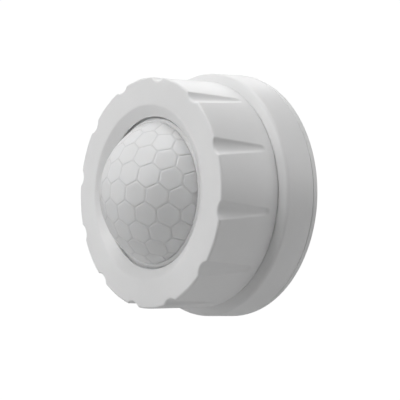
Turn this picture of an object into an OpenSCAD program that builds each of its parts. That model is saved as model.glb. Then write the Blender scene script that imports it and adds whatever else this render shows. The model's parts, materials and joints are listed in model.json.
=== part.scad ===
// Surface-mounted passive infrared motion sensor with a twist-off locking collar over a
// hexagon-faceted lens dome. Millimetres.
//
// The pieces are drawn in a device frame: z = 0 is the mounting face and +z points out of the lens.
// wall_mounted() then turns the device so that the mounting face is the XZ plane at Y = 0, the lens
// looks along -Y and +Z is up. Positive angles run counter-clockwise as seen from in front of the lens.

/* [Overall] */
// Diameter of the base at its mounting face
base_d = 87; // [87:0.5:92]
// Distance from the mounting face to the collar's front face
front_z = 39; // [39:0.5:41]

/* [Locking collar] */
// Diameter of the collar at its front face
collar_d = 78; // [77:0.5:78.5]
// Number of finger flutes round the collar
flute_count = 12; // [6:1:16]
// Depth of a flute at the front face
flute_depth = 1.35; // [0.8:0.05:1.6]
// Length of a flute, from the front face backwards
flute_length = 20.5; // [14:0.5:21]
// Angle of the first flute
flute_phase = 20; // [0:1:29]
// Angle through which the collar turns from locked to free
unlock_angle = 45; // [45]

/* [Lens dome] */
// Radius of the lens sphere
lens_r = 26.9; // [26.6:0.1:27.2]
// Height of the lens sphere's centre above the mounting face
lens_z = 25; // [25]
// Wall thickness of the dome between facets
lens_wall = 1.2; // [0.8:0.1:1.3]
// Angle between neighbouring facets, seen from the sphere's centre
facet_pitch = 16.7; // [14:0.1:18]
// Angle by which the facet rows lean from horizontal
facet_lean = -6.5; // [-15:0.5:15]
// Angle by which the facets are shifted along their rows
facet_shift = 3.5; // [0:0.5:8]

/* [Mounting] */
// Distance between the two wall-screw slots
slot_spacing = 60; // [58:1:62]
// Width of each wall-screw slot
slot_w = 4.4; // [3.5:0.1:4.6]
// End-to-end length of each wall-screw slot
slot_l = 8; // [6:0.5:9]
// Diameter of the cable entry through the grommet
cable_d = 6; // [5:0.5:7]

/* [Hidden] */
$fn = 96;

// Fits
eps = 0.05;         // overlap that keeps cuts clean
gap = 0.05;         // clearance between pieces that touch

// Base and shoulder
base_r = base_d / 2;
base_edge_fillet = 1.2;
plate_rim_h = 2.4;
plate_floor_h = 2.0;
plate_spigot_r = 40.3;
plate_spigot_w = 2.1;
plate_spigot_h = 5.6;
wall_top_r = base_r - 0.7;
base_wall = 2.1;
shoulder_fillet = 1.5;
shoulder_slope = 22;        // how steeply the shoulder falls away from the collar
shoulder_edge_z = 14.1;     // height of the shoulder where its fillet starts
shoulder_inner_z = 14.9;    // height of the shoulder under the collar's skirt
shoulder_wall = 2.3;
parting_chamfer = 0.25;
wall_draft = 0.6;           // how much the housing's inner wall leans in over its height
pad_size = [12, 10, 3];     // pads under the wall screws
rib_size = [27, 1.2, 2.9];  // ribs on the plate
rib_start_r = 12;

// Neck, which carries the lens and the collar
neck_r = 33.4;
neck_bore_r = 31;
neck_top_z = front_z - 7;
neck_lip_r = 27.8;
neck_lip_h = 1.8;

// Bayonet
lug_count = 4;
lug_pitch = 360 / lug_count;
lug_arc = 38;
lug_h = 3;
housing_lug_z = 24;
housing_lug_r = 35.3;
collar_lug_r = 33.9;
collar_lug_z = housing_lug_z - 0.4 - lug_h;
stop_play = 0.4;            // free angle at each end of the collar's turn
stop_arc = lug_pitch - lug_arc - unlock_angle - 2 * stop_play;

// Collar
collar_r = collar_d / 2;
collar_rear_r = collar_r + 0.7;
collar_rear_z = shoulder_inner_z + 0.15;
collar_rear_fillet = 0.4;
collar_bore_r = 35.9;
collar_front_wall = 4;
collar_dish_r = 29.6;       // where the flat front face ends
collar_lip_r = 25.8;        // edge of the opening round the dome
collar_lip_z = front_z - 2.5;
collar_dish_blend = 1.6;    // radius that rounds the flat face into the dish
flute_r = 4.3;
flute_tip_r = 1.6;
flute_tip_depth = 0.45;

// Lens
lens_skirt_r = 25.4;
lens_skirt_z = front_z - 3.3;
lens_band_angle = 65.5;     // the plain border band starts this far from the dome's apex
lens_band_proud = 0.1;      // how far the border band stands proud of the sphere
lens_flange_r = 32.8;
lens_flange_z = neck_top_z + 1.05;
lens_flange_h = 1.7;
facet_angle = facet_pitch / sqrt(3);    // from a facet's middle to its corner
facet_depth_factor = cos(facet_angle * 1.03);
facet_cutter_w = 10.4;
lens_key_angle = 0;
lens_key_w = 3;

// Gaskets
gasket_in_r = 28.6;
gasket_out_r = 32.0;
gasket_groove_h = 0.6;
mount_gasket_r = 41;
mount_gasket_w = 2.2;
mount_gasket_h = 1;
seal_r = 1.05;              // radius of the O-ring's section
seal_groove_z = 2.9;
seal_groove_h = 2.3;
seal_groove_depth = 1.2;
seal_ring_r = plate_spigot_r - seal_groove_depth + gap + seal_r;

// Cable grommet, which snaps into a hole in the plate
grommet_hole_r = 7;
grommet_flange_r = 9.1;
grommet_flange_h = 0.75;
grommet_lip_r = 8.6;
grommet_lip_h = 1.2;
grommet_h = 3.3;

// Boards and the posts that carry them
board_h = 1.6;
board_r = 30.2;
sensor_board_z = lens_z - 5;
power_board_z = 12.2;
sensor_top_z = sensor_board_z + board_h;
power_top_z = power_board_z + board_h;
post_pcd_r = 27.2;
post_angles = [90, 210, 330];
post_r = 2.8;
post_h = 4.6;
post_rib_w = 3;
stud_r = 1.2;
board_screw_r = 1.0;

// Screws that hold the housing to the back plate
case_screw_pcd_r = 36.05;
case_screw_angles = [30, 150, 270];
case_screw_r = 1.3;
case_screw_head_r = 2.45;
case_screw_head_h = 2;
case_screw_seat_z = 11.2;
case_screw_l = 10;
case_boss_r = 3.3;
case_boss_split_z = 6.2;    // where the plate's bosses meet the housing's

// Adjusters on the sensor board
trimmer_pcd_r = 17;
trimmer_angles = [238, 270, 302];
trimmer_w = 6.6;
trimmer_h = 3.2;
trimmer_rotor_r = 2.3;
trimmer_rotor_h = 2.9;
trimmer_socket_h = 1.9;

// Header between the boards
header_pins_n = 5;
header_pitch = 2.54;
header_x = 16;
header_y = 12.6;
header_pin_w = 0.64;

// Through-hole leads, as [x, y] spots
lead_r = 0.3;
lead_hole_r = 0.5;
lead_tail = 0.9;            // how far a lead stands out of its board's far side
can_leads = [for (a = [45, 135, 225]) [2.54 * cos(a), 2.54 * sin(a)]];
optical_x = 9;
optical_y = 13;
optical_leads = [for (s = [-1, 1], d = [-1, 1]) [s * optical_x + d * 1.27, optical_y]];

// Parts on the power board
relay_at = [-16, 3];
film_at = [18.6, 2.5];
choke_at = [9.5, 9.2];
varistor_at = [14.6, -11.6];
varistor_r = 4.3;
varistor_t = 3.6;
varistor_z = 7.3;
electro_at = [-1, 19];
electro_r = 4;
electro_l = 14;
fuse_at = [-15.2, -12];
fuse_r = 1.6;
fuse_l = 9.6;
fuse_cap_l = 3.2;
fuse_z = power_board_z - 2.2;
mains_leads = concat(
    [for (x = [-6, 6]) [relay_at[0] + x, relay_at[1] + 7.5]],
    [for (x = [-6, 0, 6]) [relay_at[0] + x, relay_at[1] - 7.5]],
    [for (s = [-1, 1]) [film_at[0], film_at[1] + s * 7.5]],
    [for (s = [-1, 1]) [choke_at[0] + s * 2.5, choke_at[1]]]);
varistor_leads = [for (s = [-1, 1]) [varistor_at[0] + s * 2.5, varistor_at[1]]];
bent_leads = [for (s = [-1, 1]) [electro_at[0] + electro_l / 2 + 1.5, electro_at[1] + s * 1.75]];
fuse_leads = [for (s = [-1, 1]) [fuse_at[0] + s * (fuse_l / 2 - fuse_cap_l / 2 + 0.5), fuse_at[1]]];

// Terminal block
poles = 3;
pole_pitch = 5.08;
terminal_y = -21.2;
terminal_w = poles * pole_pitch + 0.4;
terminal_d = 9.2;
terminal_h = 9.4;
terminal_z = power_board_z - terminal_h;
cage_w = 3.6;
cage_d = 3.4;
cage_wall = 0.5;
cage_top_z = 7.0;
cage_h = 4.8;
contact_z = 8.2;
contact_h = 0.8;
contact_w = 2.1;
clamp_screw_r = 1.25;
clamp_head_r = 1.7;
clamp_head_h = 1.3;
clamp_seat_z = 4.7;
terminal_lead_y = terminal_y - 3.4;
terminal_leads = [for (n = [1:poles]) [pole_x(n), terminal_lead_y]];

// ---------------------------------------------------------------- helpers

// Points of an arc of radius r about (x, y), from angle a0 to a1.
function arc(x, y, r, a0, a1, n = 8) =
    [for (i = [0:n]) let (a = a0 + (a1 - a0) * i / n) [x + r * cos(a), y + r * sin(a)]];

// Turns the device frame into the row frame.
module wall_mounted() { rotate([90, 0, 0]) children(); }

// Copies a child to each angle of a list, at radius r.
module at_angles(angles, r) {
    for (a = angles) rotate([0, 0, a]) translate([r, 0, 0]) children();
}

// A ring with square edges.
module ring(r_out, r_in, h) {
    difference() {
        cylinder(h = h, r = r_out);
        translate([0, 0, -eps]) cylinder(h = h + 2 * eps, r = r_in);
    }
}

// An arc-shaped block between two radii, centred on angle 0.
module ring_segment(r_in, r_out, arc_deg, h) {
    rotate([0, 0, -arc_deg / 2]) rotate_extrude(angle = arc_deg)
        translate([r_in, 0]) square([r_out - r_in, h]);
}

// A block centred on x and y that stands on z = 0.
module block(size) { translate([-size[0] / 2, -size[1] / 2, 0]) cube(size); }

// A block with rounded vertical edges.
module rounded_block(size, r) {
    linear_extrude(size[2]) union() {
        square([size[0] - 2 * r, size[1]], center = true);
        square([size[0], size[1] - 2 * r], center = true);
        for (x = [-1, 1], y = [-1, 1])
            translate([x * (size[0] / 2 - r), y * (size[1] / 2 - r)]) circle(r = r);
    }
}

// Places children on the rear side of the power board, growing towards the mounting face.
module hang_from_power_board() {
    translate([0, 0, power_board_z]) rotate([180, 0, 0]) children();
}

// ---------------------------------------------------------------- enclosure

module wall_slot() {
    straight = slot_l - slot_w;
    for (s = [-1, 1]) translate([s * slot_spacing / 2, 0, -eps]) {
        translate([-straight / 2, -slot_w / 2, 0]) cube([straight, slot_w, 10]);
        for (e = [-1, 1]) translate([e * straight / 2, 0, 0]) cylinder(h = 10, r = slot_w / 2);
    }
}

// Raised pads that the wall screws bear on, and ribs that stiffen the plate.
module plate_stiffening() {
    for (s = [-1, 1]) translate([s * slot_spacing / 2, 0, 0]) rounded_block(pad_size, 2);
    for (a = [60, 120, 240, 300]) rotate([0, 0, a]) translate([rib_start_r, -rib_size[1] / 2, 0])
        cube(rib_size);
}

module back_plate() color("whitesmoke") wall_mounted() difference() {
    union() {
        rotate_extrude() polygon(concat(
            [[0, 0]],
            arc(base_r - base_edge_fillet, base_edge_fillet, base_edge_fillet, -90, 0),
            [[base_r - 0.05, plate_rim_h - parting_chamfer],
             [base_r - 0.05 - parting_chamfer, plate_rim_h],
             [plate_spigot_r, plate_rim_h],
             [plate_spigot_r, plate_spigot_h],
             [plate_spigot_r - plate_spigot_w, plate_spigot_h],
             [plate_spigot_r - plate_spigot_w, plate_floor_h],
             [0, plate_floor_h]]));
        at_angles(case_screw_angles, case_screw_pcd_r)
            cylinder(h = case_boss_split_z, r = case_boss_r - 0.3);
        plate_stiffening();
    }
    // O-ring groove round the spigot.
    translate([0, 0, seal_groove_z]) ring(base_r, plate_spigot_r - seal_groove_depth, seal_groove_h);
    // Gasket groove in the mounting face.
    translate([0, 0, -eps]) ring(mount_gasket_r + mount_gasket_w / 2, mount_gasket_r - mount_gasket_w / 2,
        mount_gasket_h + eps);
    // Cable hole with a recess for the grommet's flange.
    translate([0, 0, -eps]) cylinder(h = 10, r = grommet_hole_r);
    translate([0, 0, -eps]) cylinder(h = grommet_flange_h + gap + eps, r = grommet_flange_r + 2 * gap);
    wall_slot();
    at_angles(case_screw_angles, case_screw_pcd_r) translate([0, 0, 1])
        cylinder(h = 10, r = case_screw_r + gap);
}

module mount_gasket() color("dimgray") wall_mounted()
    ring(mount_gasket_r + mount_gasket_w / 2 - gap, mount_gasket_r - mount_gasket_w / 2 + gap,
        mount_gasket_h - gap);

module cable_grommet() color("dimgray") wall_mounted() difference() {
    union() {
        cylinder(h = grommet_flange_h, r = grommet_flange_r);
        cylinder(h = grommet_h, r = grommet_hole_r - 2 * gap);
        translate([0, 0, plate_floor_h + gap]) cylinder(h = grommet_lip_h, r = grommet_lip_r);
    }
    translate([0, 0, -eps]) cylinder(h = 5, r = cable_d / 2);
}

module base_seal() color("dimgray") wall_mounted()
    translate([0, 0, seal_groove_z + seal_groove_h / 2]) rotate_extrude() translate([seal_ring_r, 0])
        circle(r = seal_r);

module housing_shell() {
    tangent = [wall_top_r - shoulder_fillet, shoulder_edge_z - shoulder_fillet];
    rotate_extrude() polygon(concat(
        [[base_r - 0.1 - parting_chamfer, plate_rim_h + gap],
         [base_r - 0.1, plate_rim_h + gap + parting_chamfer]],
        arc(tangent[0], tangent[1], shoulder_fillet, 0, 90 - shoulder_slope),
        [[collar_rear_r, shoulder_inner_z],
         [neck_r + 0.4, shoulder_inner_z],
         [neck_r, shoulder_inner_z + 0.4],
         [neck_r, neck_top_z - 0.5],
         [neck_r - 0.5, neck_top_z],
         [gasket_out_r + gap, neck_top_z],
         [gasket_out_r + gap, neck_top_z - gasket_groove_h],
         [gasket_in_r - gap, neck_top_z - gasket_groove_h],
         [gasket_in_r - gap, neck_top_z],
         [neck_lip_r, neck_top_z],
         [neck_lip_r, neck_top_z - neck_lip_h],
         [neck_bore_r, neck_top_z - neck_lip_h - 1],
         [neck_bore_r, shoulder_inner_z - shoulder_wall],
         [base_r - base_wall - wall_draft - 0.9, shoulder_inner_z - shoulder_wall],
         [base_r - base_wall - wall_draft, shoulder_inner_z - shoulder_wall - 1],
         [base_r - base_wall, plate_rim_h + gap]]));
}

module housing() color("white") wall_mounted() difference() {
    union() {
        housing_shell();
        // Bayonet lugs and the stops that end the collar's turn.
        for (k = [0:lug_count - 1]) rotate([0, 0, k * lug_pitch]) {
            translate([0, 0, housing_lug_z])
                ring_segment(neck_r - 1, housing_lug_r, lug_arc, lug_h);
            rotate([0, 0, -lug_arc / 2 - stop_play - stop_arc / 2])
                translate([0, 0, collar_lug_z - 0.3])
                    ring_segment(neck_r - 1, housing_lug_r - 0.2, stop_arc,
                        housing_lug_z - collar_lug_z + 0.3 + 1);
        }
        // Bosses for the case screws.
        at_angles(case_screw_angles, case_screw_pcd_r) translate([0, 0, case_boss_split_z + gap])
            cylinder(h = shoulder_inner_z - shoulder_wall - case_boss_split_z + 1, r = case_boss_r);
        // Posts for the board stack, joined to the neck by ribs.
        at_angles(post_angles, post_pcd_r) translate([0, 0, sensor_top_z]) {
            cylinder(h = post_h, r = post_r);
            translate([0, -post_rib_w / 2, 0]) cube([neck_bore_r - post_pcd_r + 1, post_rib_w, post_h]);
        }
        // Pegs that key the lens.
        for (s = [0, 180]) rotate([0, 0, lens_key_angle + s])
            translate([gasket_out_r + 0.3, -lens_key_w / 2, neck_top_z - 0.6]) cube([0.9, lens_key_w, 2.6]);
    }
    at_angles(case_screw_angles, case_screw_pcd_r) {
        translate([0, 0, case_screw_seat_z]) cylinder(h = 10, r = case_screw_head_r + 0.15);
        translate([0, 0, 0]) cylinder(h = 14, r = case_screw_r + 0.15);
    }
    at_angles(post_angles, post_pcd_r) translate([0, 0, sensor_top_z - eps])
        cylinder(h = 4, r = stud_r + gap);
}

// A pan-head screw with a cross recess; the seat is z = 0 and the shank points down.
module pan_screw(r, l, head_r, head_h) {
    difference() {
        union() {
            translate([0, 0, -l]) cylinder(h = l + eps, r = r);
            rotate_extrude() polygon(concat(
                [[0, 0], [head_r, 0]],
                arc(head_r - head_h * 0.6, head_h * 0.4, head_h * 0.6, 0, 90, 6),
                [[0, head_h]]));
        }
        for (a = [0, 90]) rotate([0, 0, a]) translate([0, 0, head_h * 0.45])
            block([head_r * 1.1, head_r * 0.24, head_h]);
    }
}

module housing_screws() color("silver") wall_mounted()
    at_angles(case_screw_angles, case_screw_pcd_r)
        translate([0, 0, case_screw_seat_z + 0.02]) pan_screw(case_screw_r, case_screw_l - 0.2,
            case_screw_head_r, case_screw_head_h);

// ---------------------------------------------------------------- locking collar

module collar_shell() {
    dish_slope = atan2(front_z - collar_lip_z, collar_dish_r - collar_lip_r);
    blend_x = collar_dish_r + collar_dish_blend * tan(dish_slope / 2);
    rotate_extrude() polygon(concat(
        arc(collar_rear_r - collar_rear_fillet, collar_rear_z + collar_rear_fillet, collar_rear_fillet,
            -90, 0, 5),
        arc(collar_r - 0.8, front_z - 0.8, 0.8, 0, 90, 5),
        arc(blend_x, front_z - collar_dish_blend, collar_dish_blend, 90, 90 + dish_slope, 6),
        arc(collar_lip_r + 0.4, collar_lip_z - 0.3, 0.4, 100, 180, 4),
        [[collar_lip_r + 0.1, front_z - collar_front_wall + 0.6],
         [collar_lip_r + 1, front_z - collar_front_wall],
         [collar_bore_r - 1, front_z - collar_front_wall],
         [collar_bore_r, front_z - collar_front_wall - 1],
         [collar_bore_r, collar_rear_z + 0.5],
         [collar_bore_r + 0.5, collar_rear_z]]));
}

// One finger flute: a tapering, slightly tilted cone that is deepest at the front face.
module flute_cutter() {
    front_x = collar_r - flute_depth + flute_r;
    tip_x = collar_rear_r + flute_tip_r - flute_tip_depth;
    tilt = atan2(front_x - tip_x, flute_length);
    stretch = 1.1;
    translate([tip_x, 0, front_z - flute_length]) rotate([0, tilt, 0])
        cylinder(h = flute_length * stretch, r1 = flute_tip_r,
            r2 = flute_tip_r + (flute_r - flute_tip_r) * stretch);
}

module locking_collar() color("white") wall_mounted() union() {
    difference() {
        collar_shell();
        for (k = [0:flute_count - 1]) rotate([0, 0, flute_phase + k * 360 / flute_count]) flute_cutter();
    }
    for (k = [0:lug_count - 1]) rotate([0, 0, k * lug_pitch]) translate([0, 0, collar_lug_z])
        ring_segment(collar_lug_r, collar_bore_r + 0.6, lug_arc, lug_h);
}

// ---------------------------------------------------------------- lens

// Middle of facet (i, j) on the dome, as [angle from the apex, direction]. The rows lie along x.
function facet(i, j) =
    let (x = facet_pitch * (i + (abs(j) % 2) / 2) + facet_shift, y = facet_pitch * j * sqrt(3) / 2)
    [norm([x, y]), atan2(y, x) + facet_lean];

module facet_cutters() {
    facet_reach = floor(90 / facet_pitch);
    for (j = [-facet_reach:facet_reach], i = [-facet_reach - 1:facet_reach])
        let (f = facet(i, j))
            if (f[0] < lens_band_angle)
                rotate([0, 0, f[1]]) rotate([0, f[0], 0])
                    translate([0, 0, lens_r * facet_depth_factor])
                        block([facet_cutter_w, facet_cutter_w, 1.5]);
}

module lens_dome() color("gainsboro") wall_mounted() difference() {
    union() {
        translate([0, 0, lens_flange_z]) ring(lens_flange_r, lens_skirt_r - 1.1, lens_flange_h);
        translate([0, 0, lens_flange_z]) rotate_extrude() polygon(concat(
            [[0, 0], [lens_skirt_r, 0]],
            arc(lens_skirt_r - 0.5, lens_skirt_z - lens_flange_z - 0.5, 0.5, 0, 90, 4),
            [[0, lens_skirt_z - lens_flange_z]]));
        difference() {
            translate([0, 0, lens_z]) sphere(r = lens_r);
            translate([0, 0, -lens_r]) cylinder(h = lens_skirt_z - 0.5 + lens_r, r = lens_r + 1);
            translate([0, 0, lens_z]) facet_cutters();
        }
        // Plain border band round the facets.
        translate([0, 0, lens_z]) rotate_extrude() polygon(concat(
            arc(0, 0, lens_r + lens_band_proud, 90 - lens_band_angle, 22.5, 4),
            [[lens_skirt_r - 2.5, (lens_r + lens_band_proud) * sin(22.5)],
             [lens_skirt_r - 2.5, (lens_r + lens_band_proud) * cos(lens_band_angle)]]));
    }
    intersection() {
        translate([0, 0, lens_z]) sphere(r = lens_r - lens_wall);
        cylinder(h = 60, r = lens_skirt_r - 1.1);
    }
    for (s = [0, 180]) rotate([0, 0, lens_key_angle + s])
        translate([gasket_out_r, -lens_key_w / 2 - 0.2, lens_flange_z - eps]) cube([2, lens_key_w + 0.4, 5]);
}

module lens_gasket() color("dimgray") wall_mounted()
    translate([0, 0, neck_top_z - gasket_groove_h + gap])
        ring(gasket_out_r, gasket_in_r, gasket_groove_h + 1.05 - 2 * gap);

// ---------------------------------------------------------------- sensor board

// A round board with holes for its posts, the header and the leads listed as [x, y].
module board(z, leads) translate([0, 0, z]) difference() {
    cylinder(h = board_h, r = board_r);
    at_angles(post_angles, post_pcd_r) translate([0, 0, -eps]) cylinder(h = 3, r = stud_r + 0.15);
    for (k = [0:header_pins_n - 1]) translate([header_x, header_y + k * header_pitch, -eps])
        cylinder(h = 3, r = header_pin_w * 0.75);
    for (p = leads) translate([p[0], p[1], -eps]) cylinder(h = 3, r = lead_hole_r);
}

module sensor_board() color("darkgreen") wall_mounted()
    board(sensor_board_z, concat(can_leads, optical_leads));

module pir_can() color("silver") wall_mounted() translate([0, 0, sensor_top_z + gap]) difference() {
    union() {
        cylinder(h = 0.5, r = 4.6);
        rotate_extrude() polygon(concat([[0, 0], [4.1, 0]], arc(3.7, 3.8, 0.4, 0, 90, 4), [[0, 4.2]]));
        rotate([0, 0, 45]) translate([4.1, -0.4, 0]) cube([1.3, 0.8, 0.5]);
    }
    translate([0, 0, 3.5]) block([4.1, 3.1, 2]);
    translate([0, 0, -eps]) cylinder(h = 3.6, r = 3.7);
}

module pir_window() color("gray") wall_mounted()
    translate([0, 0, sensor_top_z + gap + 3.6]) block([4, 3, 0.5]);

module pir_leads() color("gold") wall_mounted() for (p = can_leads)
    translate([p[0], p[1], sensor_board_z - lead_tail]) cylinder(h = board_h + lead_tail + 1.2, r = lead_r);

module daylight_sensor() color("darkorange") wall_mounted()
    translate([optical_x, optical_y, sensor_top_z + 1])
    difference() {
        cylinder(h = 2, r = 2.5);
        for (s = [-1, 1]) translate([s * 3.05, 0, -eps]) block([2, 6, 3]);
        for (k = [-1:1]) translate([0, k * 1.1, 1.8]) block([2.6, 0.45, 1]);
    }

module indicator_led() color("firebrick") wall_mounted()
    translate([-optical_x, optical_y, sensor_top_z + 1]) union() {
        cylinder(h = 0.8, r = 1.9);
        cylinder(h = 3, r = 1.5);
        translate([0, 0, 3]) sphere(r = 1.5);
    }

// Leads of the daylight sensor and the indicator lamp.
module optical_sensor_leads() color("silver") wall_mounted() for (p = optical_leads)
    translate([p[0], p[1], sensor_board_z - lead_tail]) cylinder(h = board_h + lead_tail + 0.95, r = lead_r);

module trimmer_bodies() color("royalblue") wall_mounted() at_angles(trimmer_angles, trimmer_pcd_r)
    translate([0, 0, sensor_top_z + gap]) difference() {
        rounded_block([trimmer_w, trimmer_w, trimmer_h], 0.6);
        translate([0, 0, trimmer_h - trimmer_socket_h]) cylinder(h = 5, r = trimmer_rotor_r + gap);
    }

module trimmer_rotor(angle) wall_mounted() rotate([0, 0, angle])
    translate([trimmer_pcd_r, 0, sensor_top_z + gap + trimmer_h - trimmer_socket_h + gap]) difference() {
        union() {
            cylinder(h = trimmer_rotor_h - 0.4, r = trimmer_rotor_r);
            cylinder(h = trimmer_rotor_h, r = trimmer_rotor_r - 0.4);
        }
        // Screwdriver slot with an arrow head at one end.
        translate([0, 0, trimmer_rotor_h - 1.1]) {
            block([3, 0.6, 3]);
            translate([0.7, 0, 0]) rotate([0, 0, 45]) block([1, 1, 3]);
        }
    }

module range_trimmer() color("ivory") trimmer_rotor(trimmer_angles[0]);
module time_trimmer() color("ivory") trimmer_rotor(trimmer_angles[1]);
module daylight_trimmer() color("ivory") trimmer_rotor(trimmer_angles[2]);

module microcontroller() color("black") wall_mounted() translate([15, 1, sensor_top_z + gap]) union() {
    translate([0, 0, 0.1]) block([3.9, 8.7, 1.4]);
    for (s = [-1, 1], k = [-3:3]) translate([s * 2.4, k * 1.27, 0]) block([1.2, 0.4, 0.5]);
}

// Small surface-mounted parts in rows beside the infrared sensor.
module chip_components() color("tan") wall_mounted() {
    for (k = [0:5]) translate([-11, -6 + k * 2.2, sensor_top_z + gap]) block([1.6, 0.8, 0.6]);
    for (k = [0:3]) translate([9, -5 + k * 2.4, sensor_top_z + gap]) block([2, 1.2, 0.8]);
    for (k = [0:4]) translate([-5 + k * 2.4, -4, power_top_z + gap]) block([1.2, 2, 0.8]);
}

// ---------------------------------------------------------------- board stack

module board_standoffs() color("goldenrod") wall_mounted() at_angles(post_angles, post_pcd_r) union() {
    translate([0, 0, power_top_z + gap]) difference() {
        cylinder(h = sensor_board_z - power_top_z - 2 * gap, r = 2.6, $fn = 6);
        translate([0, 0, -eps]) cylinder(h = 4.5, r = board_screw_r + gap);
    }
    translate([0, 0, sensor_board_z - gap - 0.5]) cylinder(h = board_h + 4.2, r = stud_r);
}

module board_screws() color("silver") wall_mounted() at_angles(post_angles, post_pcd_r)
    translate([0, 0, power_board_z - gap]) rotate([180, 0, 0]) pan_screw(board_screw_r, 5.6, 2.1, 1.5);

module header_body() color("black") wall_mounted()
    translate([header_x, header_y + (header_pins_n - 1) * header_pitch / 2, power_top_z + gap]) difference() {
        block([2.5, header_pins_n * header_pitch, 2.4]);
        for (k = [0:header_pins_n - 1])
            translate([0, (k - (header_pins_n - 1) / 2) * header_pitch, -eps])
                block([header_pin_w + 0.1, header_pin_w + 0.1, 3]);
    }

module header_socket() color("black") wall_mounted()
    translate([header_x, header_y + (header_pins_n - 1) * header_pitch / 2, power_top_z + 2.55]) difference() {
        block([2.5, header_pins_n * header_pitch, sensor_board_z - power_top_z - 2.6]);
        for (k = [0:header_pins_n - 1])
            translate([0, (k - (header_pins_n - 1) / 2) * header_pitch, -eps])
                block([header_pin_w + 0.1, header_pin_w + 0.1, 5]);
    }

module header_pins() color("gold") wall_mounted() for (k = [0:header_pins_n - 1])
    translate([header_x, header_y + k * header_pitch, power_board_z - 0.8])
        block([header_pin_w, header_pin_w, sensor_top_z - power_board_z + 1.6]);

// ---------------------------------------------------------------- power board

module power_board() color("darkgreen") wall_mounted()
    board(power_board_z, concat(mains_leads, varistor_leads, bent_leads, terminal_leads, fuse_leads));

module relay() color("royalblue") wall_mounted() translate([relay_at[0], relay_at[1], 0])
    hang_from_power_board() translate([0, 0, gap]) rounded_block([14.6, 20, 8.8], 0.8);

module film_capacitor() color("gold") wall_mounted() translate([film_at[0], film_at[1], 0])
    hang_from_power_board() translate([0, 0, gap]) rounded_block([7, 17.5, 9.1], 0.8);

// A can that lies on its side, with the crimp near the end that its leads leave from.
module electrolytic_capacitor() color("midnightblue") wall_mounted()
    translate([electro_at[0] + electro_l / 2, electro_at[1], power_board_z - electro_r - 0.2])
        rotate([0, -90, 0]) rotate_extrude() polygon(concat(
            [[0, 0], [electro_r - 0.6, 0]],
            arc(electro_r - 0.5, 0.5, 0.5, -90, 0, 4),
            [[electro_r, 1.8], [electro_r - 0.3, 2.2], [electro_r, 2.6]],
            arc(electro_r - 0.5, electro_l - 0.5, 0.5, 0, 90, 4),
            [[0, electro_l]]));

// A disc that stands on edge.
module varistor() color("teal") wall_mounted() translate([varistor_at[0], varistor_at[1], varistor_z])
    rotate([90, 0, 0]) translate([0, 0, -varistor_t / 2]) rotate_extrude() polygon(concat(
        [[0, 0]],
        arc(varistor_r - 1, 1, 1, -90, 0, 4),
        arc(varistor_r - 1, varistor_t - 1, 1, 0, 90, 4),
        [[0, varistor_t]]));

module fuse() color("wheat") wall_mounted() translate([fuse_at[0] - fuse_l / 2, fuse_at[1], fuse_z])
    rotate([0, 90, 0]) cylinder(h = fuse_l, r = fuse_r);

// Closed end caps of the fuse, each with a tab that is soldered into the board.
module fuse_caps() color("silver") wall_mounted() for (s = [-1, 1])
    translate([fuse_at[0], fuse_at[1], fuse_z]) mirror([(1 - s) / 2, 0, 0])
        translate([fuse_l / 2 - fuse_cap_l + 0.5, 0, 0]) difference() {
            union() {
                rotate([0, 90, 0]) cylinder(h = fuse_cap_l, r = fuse_r + 0.4);
                translate([fuse_cap_l / 2, 0, 0]) cylinder(h = power_top_z + lead_tail - fuse_z, r = 0.4);
            }
            translate([-eps, 0, 0]) rotate([0, 90, 0]) cylinder(h = fuse_cap_l - 0.4, r = fuse_r + gap);
        }

// Leads of the relay, film capacitor, varistor and choke, soldered through the board.
module power_leads() color("silver") wall_mounted() {
    for (p = mains_leads) translate([p[0], p[1], power_board_z - 0.02])
        cylinder(h = board_h + lead_tail, r = lead_r);
    // The varistor's leads start at its edge.
    for (p = varistor_leads) translate([p[0], p[1], varistor_z + sqrt(varistor_r ^ 2 - 2.2 ^ 2) + gap])
        cylinder(h = power_top_z + lead_tail - varistor_z - sqrt(varistor_r ^ 2 - 2.2 ^ 2) - gap, r = lead_r);
    // The electrolytic capacitor's leads bend towards the board.
    for (p = bent_leads) {
        translate([p[0], p[1], power_board_z - electro_r - 0.2])
            cylinder(h = electro_r + 0.2 + board_h + lead_tail, r = lead_r);
        translate([electro_at[0] + electro_l / 2 + gap, p[1], power_board_z - electro_r - 0.2])
            rotate([0, 90, 0]) cylinder(h = p[0] - electro_at[0] - electro_l / 2 - gap, r = lead_r);
        translate([p[0], p[1], power_board_z - electro_r - 0.2]) sphere(r = lead_r);
    }
}

module bridge_rectifier() color("black") wall_mounted() translate([-1, 9.6, 0])
    hang_from_power_board() translate([0, 0, gap]) union() {
        translate([0, 0, 0.2]) block([4.7, 3.9, 2.3]);
        for (x = [-1, 1], s = [-1, 1]) translate([x * 1.2, s * 2.6, 0]) block([0.7, 1.6, 0.5]);
    }

module choke_core() color("dimgray") wall_mounted() translate([choke_at[0], choke_at[1], 0])
    hang_from_power_board() translate([0, 0, gap]) union() {
        cylinder(h = 1, r = 3.6);
        cylinder(h = 8, r = 1.9);
        translate([0, 0, 7]) cylinder(h = 1, r = 3.6);
    }

module choke_winding() color("peru") wall_mounted() translate([choke_at[0], choke_at[1], 0])
    hang_from_power_board() translate([0, 0, gap + 1.05]) ring(3.3, 1.95, 5.9);

// ---------------------------------------------------------------- terminal block

function pole_x(n) = (n - (poles + 1) / 2) * pole_pitch;

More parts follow.
